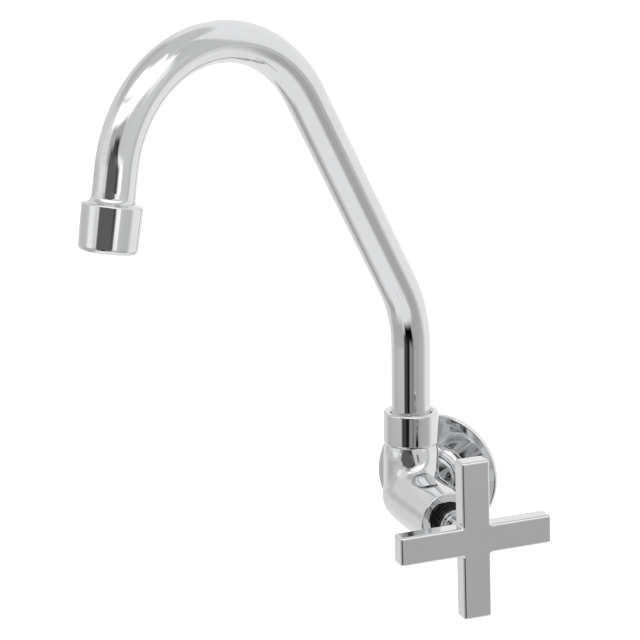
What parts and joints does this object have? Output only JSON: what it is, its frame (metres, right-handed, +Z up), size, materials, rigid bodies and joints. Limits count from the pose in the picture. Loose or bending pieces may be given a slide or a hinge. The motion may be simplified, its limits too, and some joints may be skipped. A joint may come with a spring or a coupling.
{
  "type": "wall faucet",
  "caption": "Chromed wall-mounted single faucet with a swivelling swan-neck spout, aerator and quarter-turn cross handle.",
  "frame": {"origin": "centre of the inlet thread at the wall plane", "axes": "+Z up, +Y into the wall along the inlet thread, +X to the user's right when facing the wall"},
  "size_m": [0.1671, 0.2321, 0.2789],
  "materials": {
    "chrome": "polished chrome plate over brass",
    "chrome_handle": "polished chrome plate over die-cast zinc",
    "chrome_tube": "polished chrome plate over drawn brass tube",
    "chrome_aerator": "polished chrome plate over turned brass",
    "chrome_flange": "polished chrome plate over spun sheet",
    "brass": "machined, unplated",
    "black_ring": "moulded black",
    "seal_rubber": "moulded nitrile",
    "ceramic": "lapped alumina",
    "nylon": "moulded, natural",
    "aerator_plastic": "moulded, pale grey",
    "steel": "stainless"
  },
  "bodies": {
    "valve_body": {"body": "chrome", "wall_flange": "chrome_flange", "flange_gasket": "seal_rubber", "flange_o_ring": "seal_rubber", "spout_nut": "chrome", "spout_thrust_washer": "nylon", "valve_housing": "brass", "housing_o_ring": "seal_rubber", "seat_seal": "seal_rubber", "fixed_disc": "ceramic", "trim_ring": "chrome", "dust_ring": "black_ring"},
    "handle": {"cross_handle": "chrome_handle", "handle_set_screw": "steel", "spindle": "brass", "moving_disc": "ceramic", "friction_washer": "nylon", "spindle_clip": "steel", "spindle_o_rings": "seal_rubber"},
    "spout": {"spout_tube": "chrome_tube", "spout_ferrule": "brass", "spout_o_rings": "seal_rubber", "spout_clip_ring": "nylon", "outlet_adapter": "chrome_aerator", "aerator_housing": "chrome_aerator", "aerator_washer": "seal_rubber", "aerator_insert": "aerator_plastic", "aerator_screen": "steel"}
  },
  "joints": [
    {"name": "spout_swivel", "type": "hinge", "parent": "valve_body", "child": "spout", "pos_m": [0, -0.0392, 0.03], "axis": [0, 0, 1], "range_deg": [-65.7, 114.2]},
    {"name": "handle_turn", "type": "hinge", "parent": "valve_body", "child": "handle", "pos_m": [0, -0.0392, 0], "axis": [0.7009, -0.7133, 0], "range_deg": [0, 90]}
  ]
}
